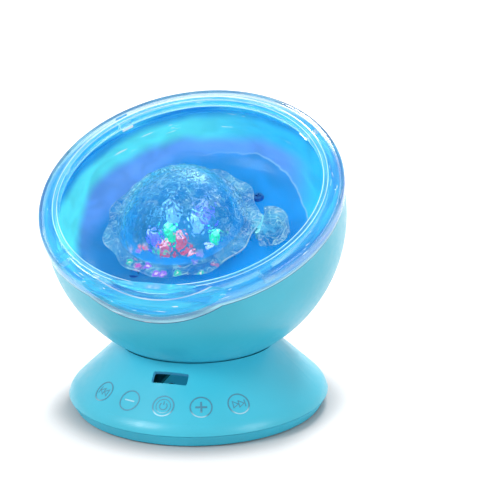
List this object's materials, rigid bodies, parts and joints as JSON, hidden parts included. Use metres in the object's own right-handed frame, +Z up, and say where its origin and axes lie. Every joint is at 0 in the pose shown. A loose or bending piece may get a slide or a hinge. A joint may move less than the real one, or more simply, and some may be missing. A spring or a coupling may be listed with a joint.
{
  "type": "night light projector",
  "caption": "Ball-shaped night light projector: a bowl with a clear cover and a turning ripple dome tilts in the dish of a cone-shaped base with touch keys.",
  "frame": {"origin": "centre of the base, on the surface that its feet rest on", "axes": "+Z up, the front with the touch keys faces -Y, +X to the right seen from the front"},
  "size_m": [0.1232, 0.1176, 0.1224],
  "materials": {
    "teal_plastic": "satin moulded",
    "teal_underside": "fine moulded grain",
    "clear_plastic": "clear polished polycarbonate",
    "ripple_plastic": "clear crinkled polycarbonate",
    "blue_reflector": "glossy, lit blue",
    "white_plastic": "moulded",
    "black_plastic": "moulded",
    "icon_print": "screen print",
    "soft_foam": "conductive foam",
    "rubber": "matte",
    "steel": "zinc plated",
    "circuit_board": "solder mask",
    "lamp_board": "blue solder mask",
    "blue_plastic": "moulded",
    "speaker_paper": "pressed paper",
    "red_lamp": "lit",
    "green_lamp": "lit",
    "blue_lamp": "lit",
    "white_lamp": "lit"
  },
  "bodies": {
    "base": {"base_top_shell": "teal_plastic", "base_bottom_shell": "teal_underside", "rubber_feet": "rubber", "base_screws": "steel", "touch_icons": "icon_print", "touch_board": "circuit_board", "touch_pads": "soft_foam", "ir_receiver": "black_plastic", "main_board": "circuit_board", "board_chips": "black_plastic", "board_screws": "steel", "port_board": "circuit_board", "usb_inlet": "steel", "audio_jack": "black_plastic", "card_slot": "steel", "speaker_frame": "black_plastic", "speaker_cone": "speaker_paper", "speaker_magnet": "steel"},
    "bowl": {"bowl_shell": "teal_plastic", "clear_cover": "clear_plastic", "window_lens": "clear_plastic", "cover_clips": "clear_plastic", "reflector": "blue_reflector", "reflector_screws": "steel", "dome_bearing": "blue_plastic", "dome_retainer": "blue_plastic", "led_board": "lamp_board", "red_leds": "red_lamp", "green_leds": "green_lamp", "blue_leds": "blue_lamp", "white_leds": "white_lamp", "gear_motor": "steel", "motor_bracket": "steel", "motor_screws": "steel", "pinion_guard": "ripple_plastic", "tilt_stem": "white_plastic", "friction_pad": "soft_foam", "tilt_saddle": "white_plastic", "spring_washer": "steel", "stem_nut": "steel"},
    "dome": {"dome_gear": "ripple_plastic", "ripple_dome": "ripple_plastic"},
    "drive": {"drive_pinion": "white_plastic", "motor_shaft": "steel"}
  },
  "joints": [
    {"name": "bowl_tilt", "type": "hinge", "parent": "base", "child": "bowl", "pos_m": [0, 0, 0.0795], "axis": [1, 0, 0], "range_deg": [-30, 15]},
    {"name": "dome_spin", "type": "hinge", "parent": "bowl", "child": "dome", "pos_m": [-0.01, 0.01294, 0.07208], "axis": [0, -0.5, 0.866], "continuous": true},
    {"name": "pinion_spin", "type": "hinge", "parent": "bowl", "child": "drive", "pos_m": [0.02591, 0.01617, 0.07151], "axis": [0, -0.5, 0.866], "continuous": true}
  ],
  "couplings": [
    {"joint": "pinion_spin", "follows": "dome_spin", "ratio": -5}
  ]
}
